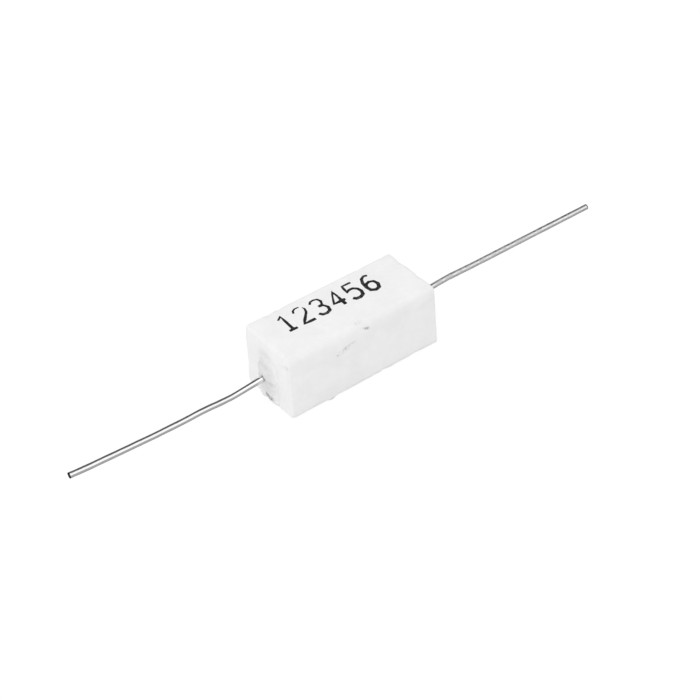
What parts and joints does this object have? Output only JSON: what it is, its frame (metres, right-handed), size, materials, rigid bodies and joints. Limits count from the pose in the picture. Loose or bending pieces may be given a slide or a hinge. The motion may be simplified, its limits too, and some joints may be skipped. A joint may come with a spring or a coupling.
{
  "type": "axial resistor",
  "caption": "Square ceramic-cased power resistor, cement filled, with a wirewound element and a round wire lead from each end.",
  "frame": {"origin": "centre of the face that it rests on, the open side of the case", "axes": "+X along the leads, +Z from the open side to the closed face of the case"},
  "size_m": [0.0779, 0.0094, 0.0087],
  "materials": {
    "ceramic": "fired, unglazed, fine matt surface",
    "cement": "cast mineral cement, matt and slightly pitted",
    "rod": "insulating rod, matt",
    "resistance_wire": "drawn alloy wire, satin",
    "cap_plate": "tinned steel, bright",
    "tinned_lead": "tinned copper wire, bright with fine drawing lines and small dents"
  },
  "bodies": {
    "root": {"ceramic_case": "ceramic", "cement_fill": "cement", "core_rod": "rod", "resistance_winding": "resistance_wire", "end_cap_left": "cap_plate", "end_cap_right": "cap_plate", "lead_left": "tinned_lead", "lead_right": "tinned_lead"}
  },
  "joints": []
}
